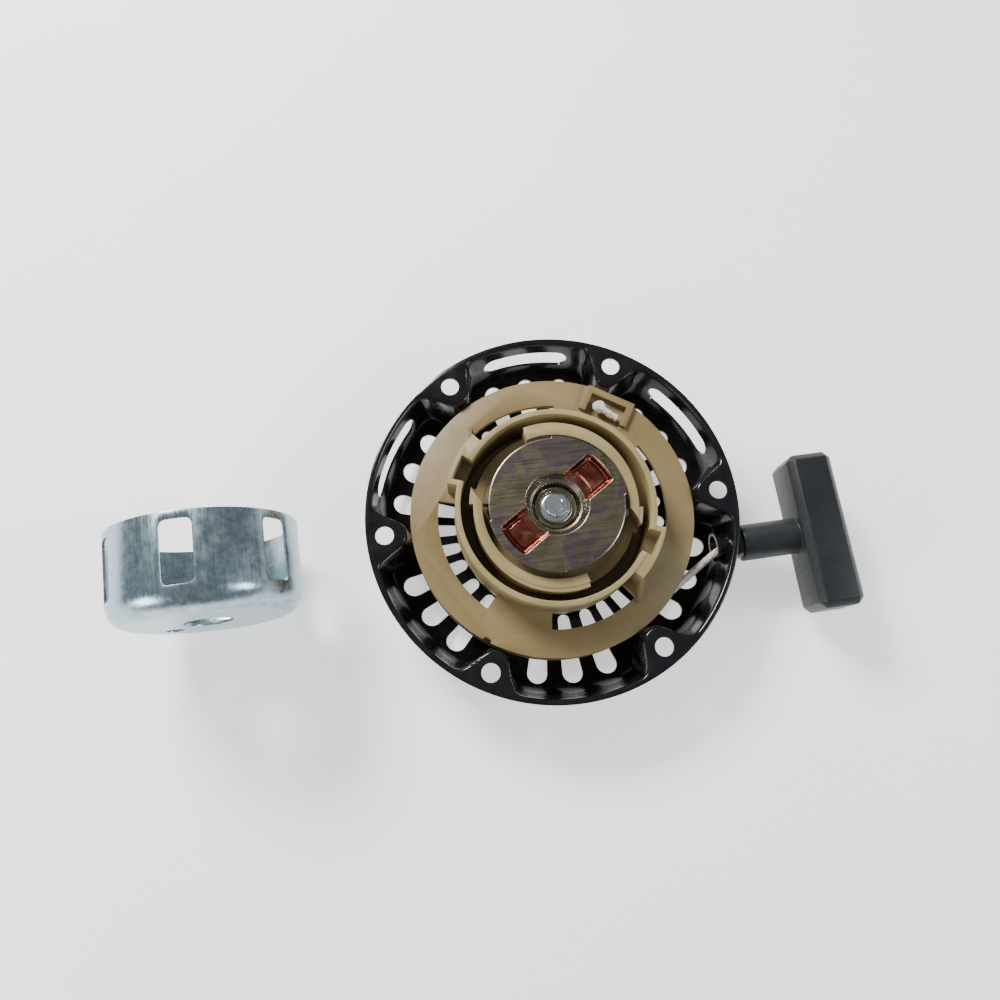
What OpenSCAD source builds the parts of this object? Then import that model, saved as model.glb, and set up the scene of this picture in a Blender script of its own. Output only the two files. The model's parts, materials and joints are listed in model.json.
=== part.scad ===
// Recoil starter for a small horizontal-shaft engine, with its starter cup.
// Origin: centre of the mounting flange's engine-side face, on the reel axis.
// +Z points to the engine, +X is the direction in which the rope is pulled.

/* [Housing] */
// Outer diameter of the mounting flange
flange_d = 173; // [165:1:185]
// Distance from the flange's edge to the circle of mounting holes
hole_inset = 8.5; // [7:0.5:11]
// Diameter of a mounting hole
hole_d = 8.5; // [6:0.5:9]
// Number of mounting holes
hole_count = 6; // [6]
// Thickness of the pressed steel sheet
sheet_t = 1.2; // [0.8:0.1:1.6]
// Depth of the bowl, from the flange face to the inside of the slotted face
bowl_depth = 30; // [29:0.5:36]
// Inner radius of the bend between wall and slotted face
corner_r = 17; // [14:0.5:20]
// Radius of the bolt-head scallop under each mounting pad
scallop_r = 8.8; // [8:0.1:9.5]
// Distance from the flange's edge to the outer end of the long vents
vent_inset = 9.9; // [8:0.1:14]
// Width of the long vents at their outer end
vent_w = 9.5; // [7:0.5:11]
// Length of arc of the wall slots, in degrees
wall_slot_arc = 29.2; // [20:0.2:32]

/* [Centre post and bolt] */
// Diameter of the centre post that the reel turns on
post_d = 12; // [10:0.5:14]
// Nominal diameter of the centre bolt
bolt_d = 6; // [5:1:8]
// Diameter of the centre bolt's flange
bolt_flange_d = 15; // [13:0.5:17]

/* [Reel] */
// Outer diameter of the reel's rope flanges
reel_d = 132; // [126:1:134]
// Thickness of the reel's web and rope flanges
web_t = 2.5; // [2:0.1:3]
// Depth of the reel's web below the mounting flange face
web_drop = 3.5; // [3:0.5:5]
// Radial gap between the starter cup and the ring wall around it
cup_gap = 2.2; // [0.7:0.1:3]
// Thickness of the ring wall
ring_t = 2.4; // [2:0.1:3]
// Height of the ring wall above the web
ring_h = 18; // [14:0.5:20]
// Radial gap between the ratchet hub and the starter cup around it
hub_gap = 2.3; // [2.2:0.1:4]
// Width of the rope groove
groove_w = 10; // [8:0.5:10.5]

/* [Rope and guide] */
// Diameter of the rope
rope_d = 3.5; // [3:0.1:4]
// Radial depth of the wound rope
winding_depth = 4.6; // [3.6:0.2:5.4]
// Distance from the reel axis to the line of pull
pull_offset = 24.8; // [22:0.2:27]

/* [Ratchet] */
// Diameter of the ratchet guide plate
guide_d = 62; // [56:1:64]
// Height of the guide plate's top above the mounting flange face
guide_top = 18; // [17:0.5:20]
// Thickness of the guide plate
guide_t = 1.2; // [1:0.1:1.5]
// Depth of the well in the middle of the guide plate
well_depth = 8.8; // [8:0.1:9.5]
// Distance from the hub's wall in to a pawl's pivot
pawl_inset = 9; // [8:0.2:10]
// How much shorter a pawl is than the inside of the hub is wide from the axis
pawl_short = 5; // [4.8:0.1:6]
// Thickness of a pawl along the reel axis
pawl_t = 6.6; // [4:0.2:7]

/* [Handle] */
// Length of the grip across the pull
grip_len = 73; // [60:1:90]
// Width of the grip along the pull
grip_w = 21; // [19:0.5:26]
// Depth of the grip along the reel axis
grip_h = 26; // [22:0.5:30]
// Diameter of the stem between grip and housing
stem_d = 17; // [14:0.5:17.5]
// Length of the stem
stem_len = 27; // [20:1:40]

/* [Starter cup] */
// Outer diameter of the starter cup
cup_d = 81; // [79:0.5:84]
// Length of the starter cup
cup_len = 40; // [38:0.5:46]
// Thickness of the cup's sheet
cup_t = 1.2; // [1:0.1:1.6]
// Width of a cup window around the cup
window_w = 13.2; // [12:0.2:18]
// Length of a cup window along the cup
window_len = 26.5; // [20:0.5:27]
// Number of cup windows
window_count = 6; // [6]
// Diameter of the bore in the cup's closed end
cup_bore_d = 20.4; // [16:0.2:24]

/* [Hidden] */
$fn = 96;

// Shared clearances
eps = 0.01;              // overlap that makes two shapes of one piece fuse
run_gap = 0.06;          // radial gap of a running fit
free_gap = 0.35;         // gap between pieces that move past each other
seat_gap = 0.05;         // gap between pieces that are assembled and stay put

// Housing
flange_r = flange_d / 2;
hole_ring_r = flange_r - hole_inset;
hole_step = 360 / hole_count;
wall_lean = 2;           // how far the wall leans in from the flange to the bend
wall_top_r = flange_r - 1.9;
wall_low_r = wall_top_r - wall_lean;
face_z = -bowl_depth;
table_z = face_z - sheet_t;
bend_z = face_z + corner_r;
bend_c = wall_low_r - corner_r;
dimple_r = 15;           // raised middle of the slotted face
dimple_h = 2;
dimple_z = face_z + dimple_h;
vent_outer_r = flange_r - vent_inset;
vent_inner_r = 44;
vent_inner_w = 5.6;
vent_pitch = 13.4;
short_vent_outer_r = 58;
short_vent_inner_w = 5;
short_vent_w = 6;
short_vent_pitch = 11;
wall_slot_top = -8;
wall_slot_h = 11;

// Centre post, from the outside up
post_r = post_d / 2;
post_flange_r = post_r + 6;
post_flange_t = 1.6;
post_top = 6.5;
rivet_r = 5;
rivet_head_r = 8;
rivet_head_t = 1.75;
washer_t = 1;
bolt_r = bolt_d / 2;
bolt_drill = 20;

// Reel levels and radii
web_top = -web_drop;
web_bottom = web_top - web_t;
groove_bottom = web_bottom - groove_w;
reel_bottom = groove_bottom - web_t;
reel_r = reel_d / 2;
groove_z = (web_bottom + groove_bottom) / 2;
winding_r = reel_r - 2;
winding_inner_r = winding_r - winding_depth;
groove_r = winding_inner_r - seat_gap;
groove_wall_t = 1.8;
cup_r = cup_d / 2;
cup_in_r = cup_r - cup_t;
ring_in_r = cup_r + cup_gap;
ring_out_r = ring_in_r + ring_t;
ring_top = web_top + ring_h;
hub_r = cup_in_r - hub_gap;
hub_wall_t = 4;
hub_in_r = hub_r - hub_wall_t;
hub_top = ring_top - 0.5;
hub_floor = 3;
floor_t = 3;
cavity_floor = -13;
cavity_floor_t = 2.5;
boss_r = post_r + 4;
boss_top = 5;
skirt_out_r = 41;
skirt_t = 2;
skirt_bottom = face_z + dimple_h + 0.6;
window_in_r = ring_out_r + 0.5;
window_out_r = groove_r - groove_wall_t - 4.25;
pocket_from = 143.2;       // pocket in the ring wall for an extended pawl
pocket_to = 157.3;
pocket_end = 160.2;      // end of the wall round the pocket
pocket_r = ring_in_r + 5.2;
pocket_wall_t = 1.8;
pocket_floor = 3;
block_from = 130.5;      // solid block beside the pocket
gap_from = 104.5;        // gap in the hub wall that a pawl swings through
gap_to = 156;
lug_to = 171;            // thick end of the hub wall after that gap
lug_r = hub_r + 1.8;
swell_r = hub_r + 0.28; // off-centre disc that thickens the hub wall
swell_shift = 1.62;
rib_angle = 134.2;       // fin that stiffens the block, and where it starts
rib_r = pocket_r + 0.6;
rib_turn = -50;
rib_l = 12;
rib_t = 2;
rib_h = 11;
knot_angle = 57.6;       // direction in which the knot tray faces
knot_side = -2.8;
tray_out_r = reel_r - 0.6;
tray_l = 23.9;
tray_wall_t = 3.1;
tray_w = 10.5;
tray_floor = web_bottom + 0.8;
tray_rise = 2;
notch_angle = 234;
notch_r = 2;

// Ratchet guide and the stack in its middle
guide_r = guide_d / 2;
guide_under = guide_top - guide_t;
well_floor = guide_top - well_depth;
well_under = well_floor - guide_t;
well_r = 13;
dish_angle = 32.5;       // direction of the two dishes
dish_w = 15;
dish_out_r = 27;
dish_depth = 3.4;
bush_r = 5;
bush_top = well_floor + free_gap;

// Pawls
pawl_pin_r = 3;
pawl_bottom = hub_floor + 2.4;
pawl_top = pawl_bottom + pawl_t;
pin_top = pawl_top + 0.8;
pawl_pivot_r = hub_in_r - pawl_inset;
pawl_len = hub_in_r - pawl_short;
pawl_eye_r = 5.4;
pawl_w = 5.6;
pawl_rest_r = hub_in_r - 1;
pawl_angle = 112.8;      // direction of the first pawl's pivot
pawl_rest_turn = acos((pow(pawl_pivot_r, 2) + pow(pawl_len, 2) - pow(pawl_rest_r, 2))
    / (2 * pawl_pivot_r * pawl_len));
pawl_dir = pawl_angle + 180 - pawl_rest_turn;

// Springs
wire_r = 0.3;
friction_wire_r = 0.6;
strip_t = 0.5;
strip_w = 9;
spring_turns = 6;
spring_in_r = post_flange_r + 2.2;
spring_out_r = skirt_out_r - skirt_t - 1.2;
spring_bottom = dimple_z + post_flange_t + 0.8;

// Rope guide, on the line of pull
rope_r = rope_d / 2;
guide_y = -pull_offset;
eyelet_r = 5.5;
eyelet_bore_r = rope_r + 1.2;
eyelet_lip_r = 7;
eyelet_lip_t = 2;
eyelet_flange_t = 1.5;
eyelet_reach = 13;       // how far the eyelet reaches in from the flange's edge
eyelet_in_x = flange_r - eyelet_reach;
mouth_r = 5.3;           // wide mouth where the rope runs in at an angle
mouth_l = 5.5;
eyelet_lip_x = sqrt(pow(wall_top_r + sheet_t, 2) - pow(pull_offset - eyelet_lip_r, 2));
eyelet_end_x = eyelet_lip_x + eyelet_lip_t;

// Handle
stem_r = stem_d / 2;
stem_x = eyelet_end_x + free_gap;
grip_x = stem_x + stem_len;
grip_mid_x = grip_x + grip_w / 2;
grip_bevel = 3;
grip_pocket_r = 6.5;
grip_pocket_l = 12;
pocket_x = grip_x + grip_w - grip_pocket_l;
stem_bore_r = rope_r + 0.9;
handle_washer_t = 1.5;
washer_x = pocket_x + seat_gap;
washer_end_x = washer_x + handle_washer_t;
knot_r = rope_r + 2.25;
knot_x = washer_end_x + seat_gap;

// Rope route from the winding, through the guide, at groove height
rope_route = [
    [53.5, -40, groove_z], [60, -35.9, groove_z], [66, -32.2, groove_z], [71, -29.2, groove_z],
    [75, -27, groove_z], [78.5, -25.6, groove_z], [81.5, -24.9, groove_z],
    [eyelet_end_x, guide_y, groove_z],
];

// Starter cup, lying on its side on the surface that the housing stands on
cup_bend_r = 9.5;
cup_x = -156.1;
cup_open_y = 11;
cup_axis_z = table_z + cup_r;
window_from_rim = 3.2;
window_corner = 3;
window_turn = 29;
key_hole_r = 4;
key_hole_ring_r = 22.5;
key_hole_turn = 214.7;

function polar(r, a) = [r * cos(a), r * sin(a)];

// Ring segment about Z between two radii, two heights and two angles
module sector(r_in, r_out, z_low, z_high, a_from, a_to) {
    rotate([0, 0, a_from])
        rotate_extrude(angle = a_to - a_from)
            translate([r_in, z_low]) square([r_out - r_in, z_high - z_low]);
}

// Full ring about Z
module ring(r_in, r_out, z_low, z_high) {
    rotate_extrude()
        translate([r_in, z_low]) square([r_out - r_in, z_high - z_low]);
}

// Round bar along Z
module bar(r, z_low, z_high) {
    translate([0, 0, z_low]) cylinder(r = r, h = z_high - z_low);
}

// Round bar along X on the line of pull
module pull_bar(r, x_low, x_high) {
    translate([x_low, guide_y, groove_z]) rotate([0, 90, 0]) cylinder(r = r, h = x_high - x_low);
}

module twice() {
    children();
    rotate([0, 0, 180]) children();
}

// Tube swept along a flat or rising route, closed at both ends
module tube(route, r, sides) {
    last = len(route) - 1;
    function along(i) = route[min(i + 1, last)] - route[max(i - 1, 0)];
    function side_way(t) = [-t[1], t[0], 0] / norm([t[0], t[1]]);
    function up_way(t) = cross(t, side_way(t)) / norm(t);
    points = [for (i = [0 : last], k = [0 : sides - 1])
        let (t = along(i), a = 360 * k / sides)
        route[i] + r * (cos(a) * side_way(t) + sin(a) * up_way(t))];
    walls = [for (i = [0 : last - 1], k = [0 : sides - 1])
        let (n = (k + 1) % sides)
        [i * sides + k, (i + 1) * sides + k, (i + 1) * sides + n, i * sides + n]];
    cap_low = [for (k = [0 : sides - 1]) k];
    cap_high = [for (k = [sides - 1 : -1 : 0]) last * sides + k];
    polyhedron(points, concat(walls, [cap_low, cap_high]));
}

// Bowl filled to the axis, grown outwards by t and up to height top
module bowl_fill(t, top) {
    wall_slope = wall_lean / -bend_z;
    rotate_extrude() {
        intersection() {
            translate([bend_c, bend_z]) circle(corner_r + t);
            square_from(0, face_z - t, flange_d, bend_z + eps);
        }
        square_from(0, face_z - t, bend_c, bend_z);
        polygon([[0, bend_z], [wall_low_r + t, bend_z], [wall_top_r + t + top * wall_slope, top], [0, top]]);
    }
}

module square_from(x_low, y_low, x_high, y_high) {
    translate([x_low, y_low]) square([x_high - x_low, y_high - y_low]);
}

module at_holes() {
    for (i = [0 : hole_count - 1])
        rotate([0, 0, i * hole_step]) translate([hole_ring_r, 0, 0]) children();
}

// One vent, narrow towards the axis, with round ends
module vent_shape(r_in, r_out, w_in, w_out) {
    translate([r_out - w_out / 2, 0]) circle(w_out / 2);
    translate([r_in + w_in / 2, 0]) circle(w_in / 2);
    polygon([[r_in + w_in / 2, w_in / 2], [r_out - w_out / 2, w_out / 2],
        [r_out - w_out / 2, -w_out / 2], [r_in + w_in / 2, -w_in / 2]]);
}

module vents() {
    for (i = [0 : hole_count - 1]) {
        for (k = [-1 : 1])
            rotate([0, 0, (i + 0.5) * hole_step + k * vent_pitch])
                vent_shape(vent_inner_r, vent_outer_r, vent_inner_w, vent_w);
        for (k = [-0.5, 0.5])
            rotate([0, 0, i * hole_step + k * short_vent_pitch])
                vent_shape(vent_inner_r, short_vent_outer_r, short_vent_inner_w, short_vent_w);
    }
}

// Arc slot in the wall between two pads
module wall_slot(mid) {
    sector(wall_low_r - corner_r / 2, flange_r + 4, wall_slot_top - wall_slot_h, wall_slot_top,
        mid - wall_slot_arc / 2, mid + wall_slot_arc / 2);
}

module housing() {
    color("black")
    difference() {
        union() {
            bowl_fill(sheet_t, 0);
            bar(flange_r, -sheet_t, 0);
        }
        difference() {
            bowl_fill(0, 1);
            at_holes() bar(scallop_r + sheet_t, table_z - 1, 2);
            bar(dimple_r, table_z - 1, dimple_z);
        }
        at_holes() {
            bar(scallop_r, table_z - 1, -sheet_t);
            bar(hole_d / 2, -sheet_t - 1, 1);
        }
        bar(dimple_r - sheet_t, table_z - 1, dimple_z - sheet_t);
        bar(rivet_r, table_z - 1, 0);
        translate([0, 0, table_z - 1]) linear_extrude(bend_z - table_z + 1) vents();
        for (i = [0.5 : 2.5]) wall_slot(i * hole_step);
        pull_bar(eyelet_r + seat_gap, eyelet_in_x, flange_r + 2);
    }
}

// Shouldered post, riveted through the slotted face, tapped for the centre bolt
module centre_post() {
    color("silver")
    difference() {
        union() {
            bar(post_r, dimple_z + eps, post_top);
            bar(post_flange_r, dimple_z + seat_gap, dimple_z + post_flange_t);
            bar(rivet_r - seat_gap, dimple_z - sheet_t - 0.1, dimple_z + 1);
            bar(rivet_head_r, dimple_z - sheet_t - rivet_head_t, dimple_z - sheet_t - seat_gap);
        }
        bar(bolt_r, post_top - bolt_drill, post_top + 1);
        // Slot that holds the recoil spring's inner end
        translate([post_r + 2.5, -1.2, dimple_z + post_flange_t - 0.8]) cube([2, 2.4, 2]);
    }
}

module thrust_washer() {
    color("gainsboro")
        ring(post_r + seat_gap, boss_r, dimple_z + post_flange_t + seat_gap,
            dimple_z + post_flange_t + seat_gap + washer_t);
}

// Flat spiral spring between the post and the reel's skirt
module recoil_spring() {
    steps = 24 * spring_turns;
    function spiral(i, side) = polar(spring_in_r + (spring_out_r - spring_in_r) * i / steps
        + side * strip_t / 2, 15 * i);
    outer = [for (i = [0 : steps]) spiral(i, 1)];
    inner = [for (i = [steps : -1 : 0]) spiral(i, -1)];
    color("dimgray")
        translate([0, 0, spring_bottom]) linear_extrude(strip_w) polygon(concat(outer, inner));
}

// Flanged steel eyelet in the wall, which the rope runs out through
module rope_guide() {
    color("silver")
    difference() {
        union() {
            pull_bar(eyelet_r, eyelet_in_x, eyelet_end_x);
            pull_bar(eyelet_lip_r, eyelet_lip_x, eyelet_end_x);
            pull_bar(eyelet_lip_r, eyelet_in_x, eyelet_in_x + eyelet_flange_t);
        }
        pull_bar(eyelet_bore_r, eyelet_in_x - 1, eyelet_end_x + 1);
        translate([eyelet_in_x - eps, guide_y, groove_z]) rotate([0, 90, 0])
            cylinder(r1 = mouth_r, r2 = eyelet_bore_r, h = mouth_l);
    }
}

module rope_span() {
    color("wheat") tube(rope_route, rope_r, 8);
}

// Upright fin that runs down from the block beside a pocket to the web
module rib() {
    rotate([0, 0, rib_angle]) translate([rib_r, 0, 0]) rotate([0, 0, rib_turn]) rotate([90, 0, 0])
        translate([0, 0, -rib_t / 2]) linear_extrude(rib_t)
            polygon([[-2, web_top - 1], [rib_l, web_top - 1], [rib_l, web_top + 0.6],
                [1, web_top + rib_h], [-2, web_top + rib_h]]);
}

// Block along the knot tray, from one distance to another in the direction that it faces
module tray(r_in, r_out, l, z_low, z_high) {
    rotate([0, 0, knot_angle]) translate([r_in, knot_side - l / 2, z_low])
        cube([r_out - r_in, l, z_high - z_low]);
}

// Half section of the reel, without its pockets and windows
module reel_section() {
    cavity_under = cavity_floor - cavity_floor_t;
    square_from(ring_in_r, cavity_under, ring_out_r, ring_top);
    square_from(ring_in_r, web_bottom, reel_r, web_top);
    square_from(groove_r - groove_wall_t, reel_bottom, groove_r, web_top);
    square_from(groove_r - groove_wall_t, reel_bottom, reel_r, groove_bottom);
    square_from(hub_in_r, cavity_under, hub_r, hub_top);
    square_from(hub_in_r, cavity_under, ring_out_r, cavity_floor);
    square_from(skirt_out_r - skirt_t, skirt_bottom, skirt_out_r, cavity_floor);
    square_from(post_r + run_gap, hub_floor - floor_t, hub_r, hub_floor);
    square_from(post_r + run_gap, spring_bottom + 1.3, boss_r, boss_top);
}

module reel() {
    step = 0.3;          // offset that keeps faces of joined shapes apart
    tray_in_r = tray_out_r - tray_wall_t - tray_w;
    color("tan")
    difference() {
        union() {
            difference() {
                rotate_extrude() reel_section();
                reel_window(80.3, 125.5);
                reel_window(165.3, 227);
                reel_window(260.3, 305.5);
                reel_window(345.3, 391);
                twice()
                    sector(hub_in_r - 1, hub_r + 1, hub_floor + step, hub_top + 1, gap_from, gap_to);
            }
            twice() {
                sector(ring_out_r - ring_t / 2, pocket_r + pocket_wall_t, web_bottom + step,
                    ring_top - step, block_from, pocket_end);
                sector(hub_in_r + 1, lug_r, hub_floor - floor_t + step, hub_top - step,
                    gap_to + step, lug_to);
                intersection() {
                    sector(hub_in_r + 1, ring_in_r, hub_floor - floor_t + step, hub_top - step,
                        lug_to - 6, 179 + gap_from);
                    translate(concat(polar(swell_shift, 180 + gap_from), 0))
                        bar(swell_r, -bowl_depth, bowl_depth);
                }
                rotate([0, 0, pawl_angle]) translate([pawl_pivot_r, 0, 0])
                    bar(pawl_pin_r, hub_floor - eps, pin_top);
                rib();
            }
            tray(tray_in_r + 1, tray_out_r, tray_l, web_bottom + step, web_top + tray_rise);
        }
        twice() {
            sector(ring_in_r - 1, pocket_r, pocket_floor, ring_top + 1, pocket_from, pocket_to);
            // Path of a pawl's tip through the hub wall
            intersection() {
                sector(hub_in_r - 1, lug_r + 1, hub_floor + step, hub_top + 1, gap_to - 3, lug_to + 4);
                at_pivot(0) bar(pawl_len + free_gap, 0, hub_top + 2);
            }
        }
        tray(tray_in_r, tray_out_r - tray_wall_t, tray_l - 2 * tray_wall_t, tray_floor, ring_top);
        // Hole that the rope comes up through, from the groove to its knot
        tray(groove_r + 0.4, tray_out_r - tray_wall_t - 0.3, rope_d + 0.8, web_bottom - 1, web_top);
        rotate([0, 0, notch_angle]) translate([reel_r, 0, 0]) bar(notch_r, web_bottom - 1, web_top + 1);
    }
}

module reel_window(a_from, a_to) {
    sector(window_in_r, window_out_r, web_bottom - 1, web_top + 1, a_from, a_to);
}

module rope_winding() {
    color("wheat")
        ring(winding_inner_r, winding_r, groove_bottom + seat_gap, web_bottom - seat_gap);
}

// Stopper knot, lying in its tray on the web
module rope_knot() {
    lobe_r = 0.8 * rope_d;
    middle_r = lobe_r + 0.6;
    color("wheat")
        rotate([0, 0, knot_angle])
            translate([tray_out_r - tray_wall_t - tray_w / 2, knot_side, tray_floor + middle_r + seat_gap])
                rotate([90, 0, 0]) rotate_extrude() difference() {
                    for (y = [-rope_d, 0, rope_d]) translate([0, y]) circle(y == 0 ? middle_r : lobe_r);
                    square_from(-2 * lobe_r, -3 * rope_d, 0, 3 * rope_d);
                }
}

// Pawl at rest about the first pivot
module pawl_shape() {
    tip_w = 2.4;
    difference() {
        translate([0, 0, pawl_bottom]) rotate([0, 0, pawl_dir]) {
            cylinder(r = pawl_eye_r, h = pawl_t);
            linear_extrude(pawl_t)
                polygon([[0, pawl_eye_r - 1], [12, pawl_w / 2 + 1], [pawl_len - 2.5, tip_w - 0.5],
                    [pawl_len, -0.5], [pawl_len - 1.5, -tip_w], [12, -pawl_w / 2],
                    [0, -pawl_eye_r + 0.6]]);
        }
        bar(pawl_pin_r + run_gap, 0, pawl_top + 1);
    }
}

module at_pivot(turn) {
    rotate([0, 0, turn]) translate(concat(polar(pawl_pivot_r, pawl_angle), 0)) children();
}

module pawl_a() {
    color("dimgray") at_pivot(0) pawl_shape();
}

module pawl_b() {
    color("dimgray") at_pivot(180) pawl_shape();
}

// Torsion spring under a pawl: two turns between two straight legs
module pawl_spring() {
    turns = 2;
    steps = 12 * turns;
    coil_r = pawl_pin_r + wire_r + 0.2;
    low = hub_floor + 0.1 + wire_r;
    rise = 2.3 * wire_r;
    leg = 6;
    coil = [for (i = [0 : steps]) concat(polar(coil_r, 30 * i), low + rise * i / 12)];
    first = [[coil_r, -leg, low], [coil_r, -leg / 3, low]];
    last = [[coil_r, leg / 3, low + rise * turns], [coil_r, leg, low + rise * turns]];
    rotate([0, 0, pawl_dir - 120]) tube(concat(first, coil, last), wire_r, 8);
}

module pawl_spring_a() {
    color("silver") at_pivot(0) pawl_spring();
}

module pawl_spring_b() {
    color("silver") at_pivot(180) pawl_spring();
}

// Plan of a dish, from the well outwards
module dish_plan(grow) {
    rotate([0, 0, dish_angle]) intersection() {
        translate([0, -dish_w / 2 - grow]) square([guide_r, dish_w + 2 * grow]);
        circle(dish_out_r + grow);
    }
}

// Pressed plate with a round well and two dishes that cam the pawls out
module ratchet_guide() {
    color("darkkhaki")
    difference() {
        union() {
            bar(guide_r, guide_under, guide_top);
            bar(well_r + guide_t, well_under, guide_top - eps);
            twice()
                translate([0, 0, guide_top - dish_depth - guide_t])
                    linear_extrude(dish_depth) dish_plan(guide_t);
        }
        bar(well_r, well_floor, guide_top + 1);
        twice()
            translate([0, 0, guide_top - dish_depth]) linear_extrude(dish_depth + 1) dish_plan(0);
        bar(bush_r + run_gap, well_under - 1, well_floor + 1);
    }
}

module friction_spring() {
    turns = 2;
    rise = (well_under - boss_top - 2 * free_gap - 2 * friction_wire_r) / turns;
    steps = 20;
    route = [for (i = [0 : steps * turns])
        concat(polar(bush_r + 3.4, 360 * i / steps),
            boss_top + free_gap + friction_wire_r + rise * i / steps)];
    color("silver") tube(route, friction_wire_r, 8);
}

// Shouldered bush that the guide plate turns on
module guide_bush() {
    color("gainsboro") ring(bolt_r + seat_gap, bush_r, post_top + seat_gap, bush_top);
}

module centre_bolt() {
    flange_low = bush_top + seat_gap;
    color("silver") {
        bar(bolt_flange_d / 2, flange_low, flange_low + 1.4);
        translate([0, 0, flange_low]) cylinder(d = bolt_d * 1.667 * 1.1547, h = bolt_d * 0.85, $fn = 6);
        bar(bolt_r - seat_gap, post_top - bolt_drill + 4, flange_low + 1);
    }
}

// T-shaped grip with bevelled edges, its stem, rope bore and knot pocket
module handle_grip() {
    color("darkslategray")
    difference() {
        union() {
            translate([grip_mid_x, guide_y, groove_z]) hull() {
                cube([grip_w, grip_len - 2 * grip_bevel, grip_h - 2 * grip_bevel], center = true);
                cube([grip_w - 2 * grip_bevel, grip_len, grip_h - 2 * grip_bevel], center = true);
                cube([grip_w - 2 * grip_bevel, grip_len - 2 * grip_bevel, grip_h], center = true);
            }
            pull_bar(stem_r, stem_x, grip_x + 1);
        }
        pull_bar(stem_bore_r, stem_x - 1, pocket_x + 1);
        pull_bar(grip_pocket_r, pocket_x, grip_x + grip_w + 1);
    }
}

module handle_washer() {
    color("silver")
    difference() {
        pull_bar(grip_pocket_r - 0.3, washer_x, washer_end_x);
        pull_bar(rope_r + seat_gap, washer_x - 1, washer_end_x + 1);
    }
}

module handle_rope() {
    color("wheat") pull_bar(rope_r, stem_x, knot_x + 1);
}

module handle_knot() {
    color("wheat")
    difference() {
        translate([knot_x + knot_r, guide_y, groove_z]) sphere(knot_r, $fn = 48);
        pull_bar(rope_r + seat_gap, knot_x - 1, knot_x + 1 + seat_gap);
    }
}

// Cup section about its own axis, open end at 0, closed end at cup_len
module cup_section() {
    difference() {
        union() {
            square_from(0, 0, cup_r, cup_len - cup_bend_r);
            square_from(0, 0, cup_r - cup_bend_r, cup_len);
            translate([cup_r - cup_bend_r, cup_len - cup_bend_r]) circle(cup_bend_r);
        }
        square_from(0, -1, cup_in_r, cup_len - cup_bend_r);
        square_from(0, -1, cup_r - cup_bend_r, cup_len - cup_t);
        translate([cup_r - cup_bend_r, cup_len - cup_bend_r]) circle(cup_bend_r - cup_t);
        square_from(0, cup_len - cup_t - 1, cup_bore_d / 2, cup_len + 1);
    }
}

// Window with round corners, cut along +X
module window_cut() {
    flat_w = window_w / 2 - window_corner;
    rotate([0, 90, 0]) linear_extrude(cup_r + 1) {
        square([window_len - 2 * window_corner, window_w], center = true);
        square([window_len, window_w - 2 * window_corner], center = true);
        for (sx = [-1, 1], sy = [-1, 1])
            translate([sx * (window_len / 2 - window_corner), sy * flat_w]) circle(window_corner);
    }
}

module starter_cup() {
    color("lightsteelblue")
    translate([cup_x, cup_open_y, cup_axis_z]) rotate([90, 0, 0])
    difference() {
        rotate_extrude() cup_section();
        for (i = [0 : window_count - 1])
            rotate([0, 0, window_turn + i * 360 / window_count])
                translate([0, 0, window_from_rim + window_len / 2]) window_cut();
        rotate([0, 0, key_hole_turn]) translate([key_hole_ring_r, 0, 0])
            bar(key_hole_r, cup_len - cup_t - 1, cup_len + 1);
    }
}

housing();
centre_post();
thrust_washer();
recoil_spring();
rope_guide();
rope_span();
reel();
rope_winding();
rope_knot();
pawl_a();
pawl_b();
pawl_spring_a();
pawl_spring_b();
ratchet_guide();
friction_spring();
guide_bush();
centre_bolt();
handle_grip();
handle_washer();
handle_rope();
handle_knot();
starter_cup();
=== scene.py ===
import json
import math

import bmesh
import bpy
import numpy as np
from mathutils import Matrix, Vector


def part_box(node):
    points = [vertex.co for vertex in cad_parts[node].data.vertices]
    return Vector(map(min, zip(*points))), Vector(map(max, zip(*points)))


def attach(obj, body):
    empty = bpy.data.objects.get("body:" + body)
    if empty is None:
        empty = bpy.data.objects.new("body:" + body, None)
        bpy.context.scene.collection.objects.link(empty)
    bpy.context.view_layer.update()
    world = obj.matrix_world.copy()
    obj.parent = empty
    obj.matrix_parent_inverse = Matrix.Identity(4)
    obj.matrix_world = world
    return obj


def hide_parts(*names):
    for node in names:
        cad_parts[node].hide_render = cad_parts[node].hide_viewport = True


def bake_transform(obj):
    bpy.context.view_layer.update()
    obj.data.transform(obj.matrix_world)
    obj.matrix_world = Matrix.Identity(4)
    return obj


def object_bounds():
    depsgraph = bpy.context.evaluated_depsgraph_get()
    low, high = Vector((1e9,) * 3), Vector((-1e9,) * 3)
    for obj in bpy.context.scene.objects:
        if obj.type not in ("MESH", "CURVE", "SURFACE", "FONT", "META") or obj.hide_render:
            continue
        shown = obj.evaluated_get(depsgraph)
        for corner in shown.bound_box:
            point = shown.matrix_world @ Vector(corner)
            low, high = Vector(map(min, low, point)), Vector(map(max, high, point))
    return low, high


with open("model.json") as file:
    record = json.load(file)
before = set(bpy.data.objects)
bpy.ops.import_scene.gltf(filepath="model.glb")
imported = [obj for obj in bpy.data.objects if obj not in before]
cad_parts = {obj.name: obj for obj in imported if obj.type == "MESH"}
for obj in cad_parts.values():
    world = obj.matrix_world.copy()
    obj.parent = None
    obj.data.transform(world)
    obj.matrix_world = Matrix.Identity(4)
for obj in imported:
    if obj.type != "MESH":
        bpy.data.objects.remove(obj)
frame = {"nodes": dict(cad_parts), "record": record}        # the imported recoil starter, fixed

CAD_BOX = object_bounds()
MM = 0.001
RECORD = frame["record"]
MOUNTS = {mount["name"]: mount for mount in RECORD["mounts"]}

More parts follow.
